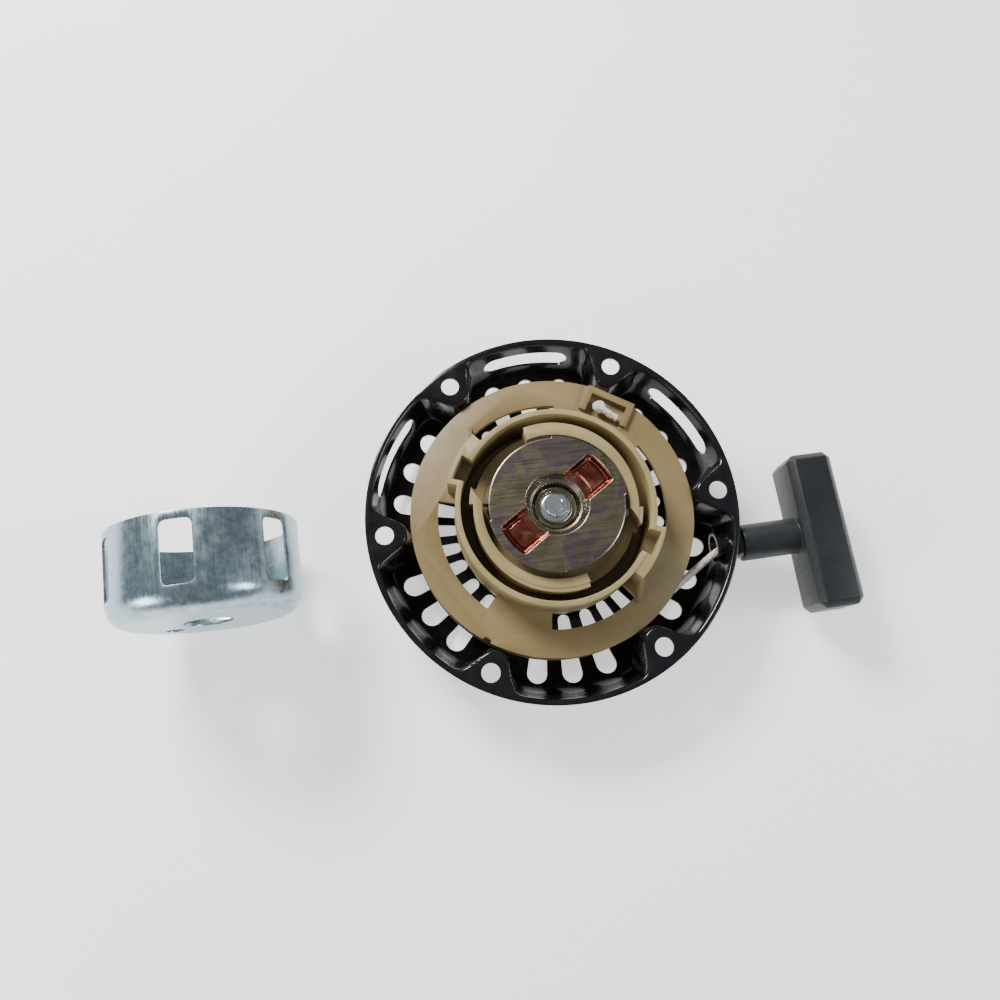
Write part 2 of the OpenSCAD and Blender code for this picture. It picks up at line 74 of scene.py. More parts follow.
# Driving dimensions, in metres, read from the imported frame
HOLE_R = MOUNTS["flange_holes"]["dims"]["hole_r_mm"] * MM
HOLE_RING_R = MOUNTS["flange_holes"]["dims"]["pcd_mm"] / 2 * MM
HOLE_COUNT = MOUNTS["flange_holes"]["dims"]["count"]
SECTOR = 2 * math.pi / HOLE_COUNT
FLANGE_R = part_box("housing")[1].y
TABLE_Z = CAD_BOX[0][2]
REEL_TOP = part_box("reel")[1].z
GUIDE_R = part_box("ratchet_guide")[1].x
GUIDE_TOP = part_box("ratchet_guide")[1].z
BOLT_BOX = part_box("centre_bolt")
EYELET_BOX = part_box("rope_guide")
PULL_Y = (EYELET_BOX[0].y + EYELET_BOX[1].y) / 2
PULL_Z = (EYELET_BOX[0].z + EYELET_BOX[1].z) / 2

# Sheet housing
SHEET = 1.2 * MM
WALL_TOP_R = FLANGE_R - 1.9 * MM
WALL_LEAN = 2 * MM
FACE_Z = TABLE_Z + SHEET
BEND_R = 17 * MM
BEND_Z = FACE_Z + BEND_R
BEND_C = WALL_TOP_R - WALL_LEAN - BEND_R
PAD_REACH = 10 * MM
DIMPLE_R = 15 * MM
DIMPLE_H = 2 * MM

# Openings in the housing
VENT_IN_R = 44 * MM
VENT_PITCH = math.radians(13.4)
SHORT_VENT_PITCH = math.radians(5.5)
SLOT_HALF_ANGLE = math.radians(14.6)
SLOT_Z = -13.5 * MM
SLOT_ANGLES = (30, 90, 150)
EYELET_HOLE_R = 5.55 * MM

# Rope
ROPE_R = 1.75 * MM


# ---------------------------------------------------------------- mesh tools

def link(name, mesh, smooth_angle=35):
    """A new object of that mesh, smooth except at edges sharper than the angle."""
    obj = bpy.data.objects.new(name, mesh)
    bpy.context.scene.collection.objects.link(obj)
    shade(obj, smooth_angle)
    return obj


def shade(obj, smooth_angle=35):
    mesh = obj.data
    mesh.polygons.foreach_set("use_smooth", [True] * len(mesh.polygons))
    mesh.set_sharp_from_angle(angle=math.radians(smooth_angle))


def mesh_of(name, points, faces):
    mesh = bpy.data.meshes.new(name)
    mesh.from_pydata([tuple(p) for p in points], [], faces)
    mesh.validate()
    return mesh


def grid_faces(rows, columns, wrap_columns=False, wrap_rows=False):
    faces = []
    for i in range(rows if wrap_rows else rows - 1):
        for k in range(columns if wrap_columns else columns - 1):
            i2, k2 = (i + 1) % rows, (k + 1) % columns
            faces.append((i * columns + k, i * columns + k2, i2 * columns + k2, i2 * columns + k))
    return faces


def lathe(name, profile, steps=96, closed=True, smooth_angle=35):
    """A solid of revolution about Z. profile is a list of (radius, height)."""
    points = []
    for r, z in profile:
        for k in range(steps):
            a = 2 * math.pi * k / steps
            points.append((r * math.cos(a), r * math.sin(a), z))
    faces = grid_faces(len(profile), steps, wrap_columns=True, wrap_rows=closed)
    mesh = mesh_of(name, points, faces)
    weld(mesh)
    return link(name, mesh, smooth_angle)


def weld(mesh, distance=1e-6):
    bm = bmesh.new()
    bm.from_mesh(mesh)
    bmesh.ops.remove_doubles(bm, verts=bm.verts, dist=distance)
    bmesh.ops.recalc_face_normals(bm, faces=bm.faces)
    bm.to_mesh(mesh)
    bm.free()


def prism(bm, outline, low, high):
    """Adds a closed prism to bm. outline is a list of points; low and high map a point to 3-D."""
    bottom = [bm.verts.new(low(p)) for p in outline]
    top = [bm.verts.new(high(p)) for p in outline]
    bm.faces.new(bottom[::-1])
    bm.faces.new(top)
    count = len(outline)
    for k in range(count):
        n = (k + 1) % count
        bm.faces.new((bottom[k], bottom[n], top[n], top[k]))


def arc(cx, cy, r, a_from, a_to, steps):
    """Points on a circle between two angles in degrees, both ends included."""
    angles = [math.radians(a_from + (a_to - a_from) * k / steps) for k in range(steps + 1)]
    return [(cx + r * math.cos(a), cy + r * math.sin(a)) for a in angles]


def rounded_rectangle(width, height, corner, steps=6):
    x, y = width / 2 - corner, height / 2 - corner
    return (arc(x, y, corner, 0, 90, steps) + arc(-x, y, corner, 90, 180, steps)
            + arc(-x, -y, corner, 180, 270, steps) + arc(x, -y, corner, 270, 360, steps))


def bake_modifiers(obj):
    """Applies the object's modifiers to its mesh."""
    graph = bpy.context.evaluated_depsgraph_get()
    mesh = bpy.data.meshes.new_from_object(obj.evaluated_get(graph))
    obj.modifiers.clear()
    obj.data = mesh


def cut(obj, cutter_mesh):
    """Cuts the closed shapes of cutter_mesh out of obj."""
    cutter = bpy.data.objects.new(obj.name + "_cutter", cutter_mesh)
    bpy.context.scene.collection.objects.link(cutter)
    boolean = obj.modifiers.new("cut", "BOOLEAN")
    boolean.operation = "DIFFERENCE"
    boolean.solver = "EXACT"
    boolean.object = cutter
    bake_modifiers(obj)
    bpy.data.objects.remove(cutter)


def round_edges(obj, width, segments=2, angle=40):
    bevel = obj.modifiers.new("bevel", "BEVEL")
    bevel.width = width
    bevel.segments = segments
    bevel.limit_method = "ANGLE"
    bevel.angle_limit = math.radians(angle)
    bevel.harden_normals = False
    bake_modifiers(obj)


def copy_of_node(node, name):
    """A new mesh with the shape of a CAD node, its flat regions made whole."""
    mesh = frame["nodes"][node].data.copy()
    mesh.materials.clear()
    bm = bmesh.new()
    bm.from_mesh(mesh)
    bmesh.ops.remove_doubles(bm, verts=bm.verts, dist=2e-6)
    bmesh.ops.dissolve_limit(bm, angle_limit=math.radians(0.5), verts=bm.verts, edges=bm.edges)
    bm.to_mesh(mesh)
    bm.free()
    return link(name, mesh)


def finish_piece(obj, material, slot, body, *nodes):
    """Gives a piece its material and its body, and hides the CAD nodes that it stands for. The slot argument
    is not used.
    """
    obj.data.materials.clear()
    obj.data.materials.append(material)
    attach(obj, body)
    if nodes:
        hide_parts(*nodes)
    return obj


# ---------------------------------------------------------------- material tools

class Shader:
    """A material with a Principled surface and short calls for its texture nodes."""

    def __init__(self, name, colour=None, **settings):
        self.material = bpy.data.materials.new(name)
        self.material.use_nodes = True
        self.tree = self.material.node_tree
        self.bsdf = self.tree.nodes["Principled BSDF"]
        self.coordinates = self.add("ShaderNodeTexCoord").outputs["Object"]
        if colour:
            self.bsdf.inputs["Base Color"].default_value = (*colour, 1)
        for socket, value in settings.items():
            self.bsdf.inputs[socket.replace("_", " ")].default_value = value

    def add(self, kind, **properties):
        node = self.tree.nodes.new(kind)
        for key, value in properties.items():
            setattr(node, key, value)
        return node

    def join(self, output, node, socket):
        self.tree.links.new(output, node.inputs[socket])

    def to(self, socket, output):
        self.join(output, self.bsdf, socket)

    def stretched(self, scale, coordinates=None):
        node = self.add("ShaderNodeMapping")
        node.inputs["Scale"].default_value = scale
        self.join(coordinates or self.coordinates, node, "Vector")
        return node.outputs["Vector"]

    def noise(self, scale, detail=4, roughness=0.5, vector=None, distortion=0):
        node = self.add("ShaderNodeTexNoise")
        node.inputs["Scale"].default_value = scale
        node.inputs["Detail"].default_value = detail
        node.inputs["Roughness"].default_value = roughness
        node.inputs["Distortion"].default_value = distortion
        self.join(vector or self.coordinates, node, "Vector")
        return node.outputs["Fac"]

    def ramp(self, value, *stops):
        """Maps a value to colours. Each stop is (position, colour or grey)."""
        node = self.add("ShaderNodeValToRGB")
        elements = node.color_ramp.elements
        while len(elements) < len(stops):
            elements.new(0.5)
        for element, (position, colour) in zip(elements, stops):
            element.position = position
            if isinstance(colour, (int, float)):
                colour = (colour, colour, colour)
            element.color = (*colour, 1)
        self.join(value, node, "Fac")
        return node.outputs["Color"]

    def mix(self, factor, first, second, blend="MIX"):
        node = self.add("ShaderNodeMix", data_type="RGBA", blend_type=blend)
        for socket, value in ((0, factor), (6, first), (7, second)):
            if isinstance(value, (int, float)):
                node.inputs[socket].default_value = value
            elif isinstance(value, tuple):
                node.inputs[socket].default_value = (*value, 1)
            else:
                self.tree.links.new(value, node.inputs[socket])
        return node.outputs[2]

    def maths(self, operation, first, second=0.0):
        node = self.add("ShaderNodeMath", operation=operation)
        for socket, value in ((0, first), (1, second)):
            if isinstance(value, (int, float)):
                node.inputs[socket].default_value = value
            else:
                self.tree.links.new(value, node.inputs[socket])
        return node.outputs[0]

    def bump(self, height, strength, distance):
        node = self.add("ShaderNodeBump")
        node.inputs["Strength"].default_value = strength
        node.inputs["Distance"].default_value = distance
        self.join(height, node, "Height")
        self.to("Normal", node.outputs["Normal"])

    def depth(self, low, high):
        """0 at the low height of the piece's own axis, 1 at the high one."""
        parts = self.add("ShaderNodeSeparateXYZ")
        self.join(self.coordinates, parts, "Vector")
        return self.maths("DIVIDE", self.maths("SUBTRACT", parts.outputs["Z"], low), high - low)

    def attribute(self, name):
        return self.add("ShaderNodeAttribute", attribute_name=name).outputs["Fac"]


def black_paint():
    """Glossy black enamel with a faint orange peel, dust and fine scuffs."""
    s = Shader("black_paint", Specular_IOR_Level=0.35, Coat_Weight=0.25, Coat_Roughness=0.08)
    dust = s.noise(140, 6, 0.65)
    s.to("Base Color", s.ramp(dust, (0.35, (0.003, 0.003, 0.004)), (0.75, (0.009, 0.009, 0.011))))
    scuffs = s.noise(900, 3, 0.7, s.stretched((1, 1, 0.25)))
    s.to("Roughness", s.ramp(s.mix(0.5, dust, scuffs), (0.4, 0.14), (0.65, 0.3)))
    s.bump(s.noise(420, 2, 0.4), 0.12, 0.00012)
    return s.material


def reel_plastic():
    """Ochre moulded nylon with flow marks, a soft sheen, slight grime and painted shade that darkens it
    lower down in the cavities.
    """
    s = Shader("reel_plastic", Subsurface_Weight=0.06, Subsurface_Scale=0.002, Specular_IOR_Level=0.45)
    clouds = s.noise(26, 5, 0.6, distortion=0.4)
    body = s.ramp(clouds, (0.3, (0.28, 0.222, 0.098)), (0.55, (0.335, 0.268, 0.125)),
                  (0.75, (0.38, 0.305, 0.15)))
    grime = s.ramp(s.noise(160, 6, 0.7), (0.55, 0.0), (0.8, 0.35))
    # painted shade: the ochre turns dark brown towards the bottom of the reel, where the cavities lie in
    # shadow
    cavity_shade = s.depth(REEL_TOP - 11 * MM, REEL_TOP - 3 * MM)
    body = s.mix(s.ramp(cavity_shade, (0.0, 0.45), (1.0, 0.0)), body, (0.12, 0.06, 0.018))
    s.to("Base Color", s.mix(grime, body, (0.12, 0.07, 0.025)))
    s.to("Roughness", s.ramp(s.noise(300, 4, 0.6), (0.3, 0.34), (0.7, 0.52)))
    s.bump(s.noise(1500, 3, 0.6), 0.08, 0.0001)
    return s.material


def guide_zinc():
    """Yellow-passivated pressed steel: olive and violet iridescence, specks and rolling lines."""
    s = Shader("guide_zinc", Metallic=1.0)
    film = s.noise(55, 4, 0.55, distortion=0.6)
    tint = s.ramp(film, (0.32, (0.17, 0.15, 0.085)), (0.48, (0.26, 0.225, 0.15)),
                  (0.58, (0.20, 0.14, 0.16)), (0.7, (0.19, 0.19, 0.11)))
    specks = s.ramp(s.noise(2600, 2, 0.6), (0.6, 0.0), (0.72, 0.6))
    s.to("Base Color", s.mix(specks, tint, (0.62, 0.58, 0.5)))
    rolling = s.noise(600, 5, 0.7, s.stretched((0.08, 1.6, 1)))
    s.to("Roughness", s.ramp(rolling, (0.35, 0.24), (0.65, 0.40)))
    s.bump(s.mix(0.5, rolling, s.noise(2200, 3, 0.6)), 0.16, 0.00008)
    return s.material


def dish_copper():
    """The guide plate's pressed dishes, where the film turns copper red."""
    s = Shader("dish_copper", Metallic=1.0)
    film = s.noise(130, 4, 0.6, distortion=0.8)
    s.to("Base Color", s.ramp(film, (0.35, (0.20, 0.05, 0.03)), (0.52, (0.36, 0.11, 0.07)),
                              (0.68, (0.5, 0.27, 0.2))))
    s.to("Roughness", s.ramp(s.noise(900, 3, 0.6), (0.35, 0.16), (0.7, 0.3)))
    s.bump(s.noise(1800, 3, 0.6), 0.12, 0.00008)
    return s.material


def plated_steel(name, dark, light, rough_low, rough_high, streaks=(1, 1, 1)):
    """Zinc-plated or turned steel with cloudy tone and fine lines."""
    s = Shader(name, Metallic=1.0)
    clouds = s.noise(60, 5, 0.6)
    s.to("Base Color", s.ramp(clouds, (0.3, dark), (0.7, light)))
    lines = s.noise(1300, 4, 0.7, s.stretched(streaks))
    s.to("Roughness", s.ramp(lines, (0.3, rough_low), (0.7, rough_high)))
    s.bump(lines, 0.1, 0.00006)
    return s.material


def cup_zinc():
    """Blue-bright zinc on drawn steel: draw lines along the cup, spangle and a cyan cast in broad patches.
    """
    s = Shader("cup_zinc", Metallic=1.0)
    spangle = s.noise(240, 5, 0.65)
    tone = s.ramp(spangle, (0.3, (0.24, 0.31, 0.37)), (0.55, (0.36, 0.44, 0.50)), (0.75, (0.52, 0.60, 0.65)))
    cast = s.ramp(s.noise(34, 3, 0.5), (0.4, 0.0), (0.7, 0.45))
    s.to("Base Color", s.mix(cast, tone, (0.28, 0.47, 0.50)))
    draw = s.noise(900, 5, 0.7, s.stretched((1.2, 0.06, 1.2)))
    s.to("Roughness", s.ramp(s.mix(0.4, draw, spangle), (0.35, 0.2), (0.65, 0.38)))
    s.bump(s.mix(0.35, draw, s.noise(1800, 2, 0.6)), 0.16, 0.0001)
    return s.material


def rope_fibre():
    """White braided polyester with brown tracer flecks and painted shade in the braid's hollows."""
    s = Shader("rope_fibre", Roughness=0.85, Sheen_Weight=0.3, Sheen_Roughness=0.5, Specular_IOR_Level=0.25)
    hollows = s.attribute("braid")
    # painted shade: dark brown where the braid height is low, in the hollows between the strands
    base = s.ramp(hollows, (0.05, (0.26, 0.2, 0.13)), (0.45, (0.68, 0.63, 0.54)), (0.9, (0.82, 0.79, 0.72)))
    flecks = s.ramp(s.noise(520, 2, 0.5), (0.56, 0.0), (0.62, 0.85))
    s.to("Base Color", s.mix(flecks, base, (0.36, 0.24, 0.13)))
    s.bump(s.noise(5200, 2, 0.6), 0.3, 0.0001)
    return s.material


def grip_plastic():
    """Black moulded plastic with a fine spark-eroded texture."""
    s = Shader("grip_plastic", Specular_IOR_Level=0.4)
    clouds = s.noise(40, 4, 0.6)
    s.to("Base Color", s.ramp(clouds, (0.3, (0.010, 0.012, 0.014)), (0.7, (0.017, 0.020, 0.022))))
    s.to("Roughness", s.ramp(s.noise(500, 4, 0.6), (0.3, 0.36), (0.7, 0.5)))
    s.bump(s.noise(2600, 3, 0.7), 0.22, 0.0001)
    return s.material


def floor_paper():
    s = Shader("floor_paper", Roughness=0.9)
    s.to("Base Color", s.ramp(s.noise(8, 3, 0.5), (0.3, (0.92, 0.92, 0.915)), (0.7, (0.95, 0.95, 0.95))))
    s.bsdf.inputs["Emission Color"].default_value = (1, 1, 1, 1)
    s.bsdf.inputs["Emission Strength"].default_value = 0.8
    return s.material


PAINT = black_paint()
REEL = reel_plastic()
GUIDE = guide_zinc()
COPPER = dish_copper()
CUP = cup_zinc()
ROPE = rope_fibre()
GRIP = grip_plastic()
BOLT = plated_steel("bolt_zinc", (0.55, 0.58, 0.64), (0.82, 0.84, 0.88), 0.14, 0.28)
TURNED = plated_steel("turned_steel", (0.46, 0.46, 0.46), (0.66, 0.66, 0.66), 0.22, 0.38, (1, 1, 0.1))
BLUED = plated_steel("blued_spring", (0.12, 0.13, 0.17), (0.24, 0.25, 0.29), 0.22, 0.36, (1, 1, 0.1))
PAWL = plated_steel("pawl_steel", (0.2, 0.19, 0.18), (0.36, 0.34, 0.32), 0.3, 0.46)
FLOOR = floor_paper()


# ---------------------------------------------------------------- camera, light, floor

def make_camera():
    """The camera stands south-west of the starter and looks down at it, 14 degrees off the vertical."""
    data = bpy.data.cameras.new("camera")
    data.sensor_width = 36
    data.lens = 30.6
    data.clip_start = 0.01
    camera = bpy.data.objects.new("camera", data)
    camera.location = (-0.0494, -0.0838, 0.3798)
    camera.rotation_euler = (math.radians(14.15), math.radians(-1.79), math.radians(-8.45))
    bpy.context.scene.collection.objects.link(camera)
    bpy.context.scene.camera = camera


def add_light(name, place, aim, size, energy, colour=(1, 1, 1)):
    data = bpy.data.lights.new(name, "AREA")
    data.shape = "RECTANGLE"
    data.size, data.size_y = size
    data.energy = energy
    data.color = colour
    light = bpy.data.objects.new(name, data)
    light.location = place
    light.rotation_euler = (Vector(aim) - Vector(place)).to_track_quat("-Z", "Y").to_euler()
    bpy.context.scene.collection.objects.link(light)


def make_studio():
    world = bpy.data.worlds.new("studio")
    world.use_nodes = True
    background = world.node_tree.nodes["Background"]
    background.inputs["Color"].default_value = (0.92, 0.96, 1.0, 1)
    background.inputs["Strength"].default_value = 0.3
    bpy.context.scene.world = world
    add_light("key", (-0.5, 0.85, 0.75), (0, 0, 0), (0.45, 0.3), 26, (1.0, 0.98, 0.95))
    add_light("fill", (0.9, -0.3, 0.6), (0, 0, 0), (0.4, 0.3), 6, (0.9, 0.95, 1.0))
    add_light("low_left", (-0.75, -0.35, 0.35), (-0.1, 0, 0), (0.3, 0.2), 3)


def make_floor():
    """A pale sheet of paper with a slight undulation, under the whole object."""
    half, count = 1.6, 25
    points = []
    for i in range(count):
        for k in range(count):
            x, y = (2 * half * i / (count - 1) - half), (2 * half * k / (count - 1) - half)
            points.append((x, y, TABLE_Z - 0.0004 + 0.0001 * math.sin(9 * x) * math.cos(7 * y)))
    floor = link("floor", mesh_of("floor", points, grid_faces(count, count)), 60)
    floor.data.materials.append(FLOOR)


# ---------------------------------------------------------------- housing

def wall_outline(angle):
    """Radius of the wall's top edge: near the rim, drawn in round each mounting pad in an S-curve."""
    away = (angle + SECTOR / 2) % SECTOR - SECTOR / 2
    pull_in = math.exp(-abs(away / math.radians(7.2)) ** 3.2)
    return WALL_TOP_R - (WALL_TOP_R - HOLE_RING_R + PAD_REACH) * pull_in


def soft_min(a, b, width):
    """The smaller of two lengths, with the crossing rounded over that width."""
    h = max(width - abs(a - b), 0) / width
    return min(a, b) - h * h * width / 4


def bowl_radius(z):
    """Inner radius of the bowl at a height, between the pads."""
    if z > BEND_Z:
        return WALL_TOP_R - WALL_LEAN * z / BEND_Z
    return BEND_C + math.sqrt(max(BEND_R ** 2 - (z - BEND_Z) ** 2, 0))


def housing_profile(angle, count):
    """Section of the engine-side surface from the rim to the dimple, as count even points."""
    top_r = wall_outline(angle)
    path = [(FLANGE_R, -0.5 * MM), (FLANGE_R - 0.3 * MM, 0)]
    steps = 90
    for i in range(steps + 1):
        z = FACE_Z * (i / steps) ** 0.9
        pad_r = top_r - WALL_LEAN * min(-z / 20 / MM, 1)
        path.append((soft_min(bowl_radius(z), pad_r, 3 * MM), z))
    path.append((DIMPLE_R + 4 * MM, FACE_Z))
    path.append((DIMPLE_R, FACE_Z + DIMPLE_H))
    path.append((5 * MM, FACE_Z + DIMPLE_H))
    path = np.array(path)
    run = np.concatenate([[0], np.cumsum(np.hypot(*np.diff(path, axis=0).T))])
    marks = np.linspace(0, run[-1], count)
    section = np.stack([np.interp(marks, run, path[:, 0]), np.interp(marks, run, path[:, 1])], axis=1)
    for _ in range(3):
        section[1:-1] = (section[:-2] + 2 * section[1:-1] + section[2:]) / 4
    return section


def vent_outline(r_in, r_out, w_in, w_out):
    """Plan of one vent along +X with round ends."""
    return (arc(r_out - w_out / 2, 0, w_out / 2, -90, 90, 12)
            + arc(r_in + w_in / 2, 0, w_in / 2, 90, 270, 8))


def turned(point, angle):
    x, y = point
    return x * math.cos(angle) - y * math.sin(angle), x * math.sin(angle) + y * math.cos(angle)


def housing_cutters():
    bm = bmesh.new()
    low_z, vent_high = TABLE_Z - 4 * MM, BEND_Z + 1 * MM
    long_vent = vent_outline(VENT_IN_R, 76.6 * MM, 5.6 * MM, 9.5 * MM)
    short_vent = vent_outline(VENT_IN_R, 58 * MM, 5 * MM, 6 * MM)
    plans = []
    for i in range(HOLE_COUNT):
        plans += [(long_vent, (i + 0.5) * SECTOR + VENT_PITCH * k) for k in (-1, 0, 1)]
        plans += [(short_vent, i * SECTOR + SHORT_VENT_PITCH * k) for k in (-1, 1)]
    for plan, turn in plans:
        prism(bm, plan, lambda p: (*turned(p, turn), low_z), lambda p: (*turned(p, turn), vent_high))
    for i in range(HOLE_COUNT):
        hole = arc(HOLE_RING_R, 0, HOLE_R, 0, 350, 35)
        turn = i * SECTOR
        prism(bm, hole, lambda p: (*turned(p, turn), -4 * MM), lambda p: (*turned(p, turn), 3 * MM))
    prism(bm, arc(0, 0, 5 * MM + 0.2 * MM, 0, 350, 35), lambda p: (*p, low_z), lambda p: (*p, 0))
    slot_plan = rounded_rectangle(2 * SLOT_HALF_ANGLE * WALL_TOP_R, 11 * MM, 5.4 * MM, 8)
    for mid in SLOT_ANGLES:
        def on_wall(p, r):
            a = math.radians(mid) + p[0] / WALL_TOP_R
            return (r * math.cos(a), r * math.sin(a), SLOT_Z + p[1])
        prism(bm, slot_plan, lambda p: on_wall(p, 73 * MM), lambda p: on_wall(p, 92 * MM))
    eyelet = arc(PULL_Y, PULL_Z, EYELET_HOLE_R, 0, 350, 35)
    prism(bm, eyelet, lambda p: (74 * MM, *p), lambda p: (90 * MM, *p))
    bmesh.ops.recalc_face_normals(bm, faces=bm.faces)
    mesh = bpy.data.meshes.new("housing_cutters")
    bm.to_mesh(mesh)
    bm.free()
    return mesh


def make_housing():
    """The pressed bowl as one sheet: polar grid, thickness, then holes, vents and slots."""
    steps, count = 540, 112
    points = []
    for k in range(steps):
        angle = 2 * math.pi * k / steps
        for r, z in housing_profile(angle, count):
            points.append((r * math.cos(angle), r * math.sin(angle), z))
    mesh = mesh_of("housing_shell", points, grid_faces(steps, count, wrap_rows=True))
    bm = bmesh.new()
    bm.from_mesh(mesh)
    bmesh.ops.recalc_face_normals(bm, faces=bm.faces)
    if max(bm.faces, key=lambda f: f.calc_center_median().z).normal.z < 0:
        bmesh.ops.reverse_faces(bm, faces=bm.faces)
    bm.to_mesh(mesh)
    bm.free()
    shell = link("housing_shell", mesh)
    solid = shell.modifiers.new("sheet", "SOLIDIFY")
    solid.thickness = SHEET
    solid.offset = -1
    solid.use_even_offset = True
    bake_modifiers(shell)
    cut(shell, housing_cutters())
    shade(shell, 40)
    finish_piece(shell, PAINT, "black_paint", "housing", "housing")


# ---------------------------------------------------------------- guide plate and bolt

DISH_ANGLE = math.radians(32.5)


def smooth_step(low, high, value):
    t = min(max((value - low) / (high - low), 0), 1)
    return t * t * (3 - 2 * t)


def guide_height(r, angle):
    """Depth of the pressed plate below its top, at a place in the plane, all in millimetres."""
    well = 8.8 * smooth_step(14.6, 11.4, r) * 0.55 + 8.8 * smooth_step(11.2, 9.2, r) * 0.45
    depth = well
    for turn in (DISH_ANGLE, DISH_ANGLE + math.pi):
        along = r * math.cos(angle - turn)
        across = abs(r * math.sin(angle - turn))
        inside = smooth_step(8.3, 6.6, across) * smooth_step(27.6, 25.8, r) * (1 if along > 0 else 0)
        frame_rise = smooth_step(5.9, 5.2, across) * smooth_step(25.2, 24.4, r) * smooth_step(16.6, 17.4, r)
        dish = 3.4 * inside - 0.9 * frame_rise * inside
        depth = max(depth, dish)
    return depth


def make_guide():
    """Pressed plate: one sheet over a polar grid, with nicked edge, well and two dishes."""
    steps, rings = 480, 96
    inner, outer = 5.08 * MM, GUIDE_R
    points = []
    for k in range(steps):
        angle = 2 * math.pi * k / steps
        degrees = math.degrees(angle)
        nick = 0.7 * MM if (86 <= degrees <= 187 or 268 <= degrees <= 361) else 0
        for i in range(rings):
            r = inner + (outer - nick - inner) * (i / (rings - 1))
            z = GUIDE_TOP - guide_height(r / MM, angle) * MM
            edge = smooth_step(outer - nick - 0.5 * MM, outer - nick, r)
            points.append((r * math.cos(angle), r * math.sin(angle), z - 0.25 * MM * edge))
    mesh = mesh_of("guide_plate", points, grid_faces(steps, rings, wrap_rows=True))
    bm = bmesh.new()
    bm.from_mesh(mesh)
    bmesh.ops.recalc_face_normals(bm, faces=bm.faces)
    bm.faces.ensure_lookup_table()
    if bm.faces[0].normal.z < 0:
        bmesh.ops.reverse_faces(bm, faces=bm.faces)
    bm.to_mesh(mesh)
    bm.free()
    plate = link("guide_plate", mesh)
    solid = plate.modifiers.new("sheet", "SOLIDIFY")
    solid.thickness = SHEET * 0.9
    solid.offset = -1
    bake_modifiers(plate)
    shade(plate, 50)
    finish_piece(plate, GUIDE, "guide_zinc", "guide", "ratchet_guide")
    plate.data.materials.append(COPPER)
    for face in plate.data.polygons:
        x, y, z = face.center
        if z < GUIDE_TOP - 1.2 * MM and math.hypot(x, y) > 13.4 * MM:
            face.material_index = 1


def make_bolt():
    """Hexagon flange bolt: lathed flange and washer face, chamfered hexagon, dished top."""
    low, high = BOLT_BOX[1].z - 5.1 * MM, BOLT_BOX[1].z
    flange_r = BOLT_BOX[1].y
    shank_r = 2.95 * MM
    profile = [(0.01 * MM, BOLT_BOX[0].z), (shank_r - 0.4 * MM, BOLT_BOX[0].z),
               (shank_r, BOLT_BOX[0].z + 0.5 * MM), (shank_r, low),
               (flange_r - 0.3 * MM, low), (flange_r, low + 0.35 * MM), (flange_r, low + 0.9 * MM),
               (flange_r - 0.4 * MM, low + 1.3 * MM), (flange_r - 2.1 * MM, low + 2.0 * MM),
               (0.01 * MM, low + 2.0 * MM)]
    flange = lathe("bolt_flange", profile, 96, closed=False, smooth_angle=30)
    finish_piece(flange, BOLT, "bolt_zinc", "housing", "centre_bolt")
    across = 5 * MM
    rings = [(1.0, low + 1.5 * MM, 0), (1.0, high - 0.9 * MM, 0), (1.0, high - 0.35 * MM, 1),
             (0.93, high, 1), (0.62, high, 1), (0.55, high - 0.35 * MM, 1), (0.02, high - 0.5 * MM, 1)]
    points, steps = [], 96
    for scale, z, rounded in rings:
        for k in range(steps):
            a = 2 * math.pi * k / steps
            corner = (a + math.pi / 6) % (math.pi / 3) - math.pi / 6
            hexagon = across / math.cos(corner)
            r = scale * (min(hexagon, across * 1.06) if rounded else min(hexagon, across * 1.13))
            points.append((r * math.cos(a), r * math.sin(a), z))
    faces = grid_faces(len(rings), steps, wrap_columns=True)
    head = link("bolt_head", mesh_of("bolt_head", points, faces), 28)
    finish_piece(head, BOLT, "bolt_zinc", "housing")


# ---------------------------------------------------------------- reel

def make_reel():
    reel = copy_of_node("reel", "reel_moulding")
    round_edges(reel, 0.35 * MM, 2, 35)
    shade(reel, 35)
    finish_piece(reel, REEL, "reel_plastic", "reel", "reel")


# ---------------------------------------------------------------- rope

def braid(around, along):
    """Height of the braid's diamonds, from 0 in the hollows to 1 on the strands."""
    first = math.sin(4 * around + along)
    second = math.sin(4 * around - along)
    return math.sqrt(abs(first * second))


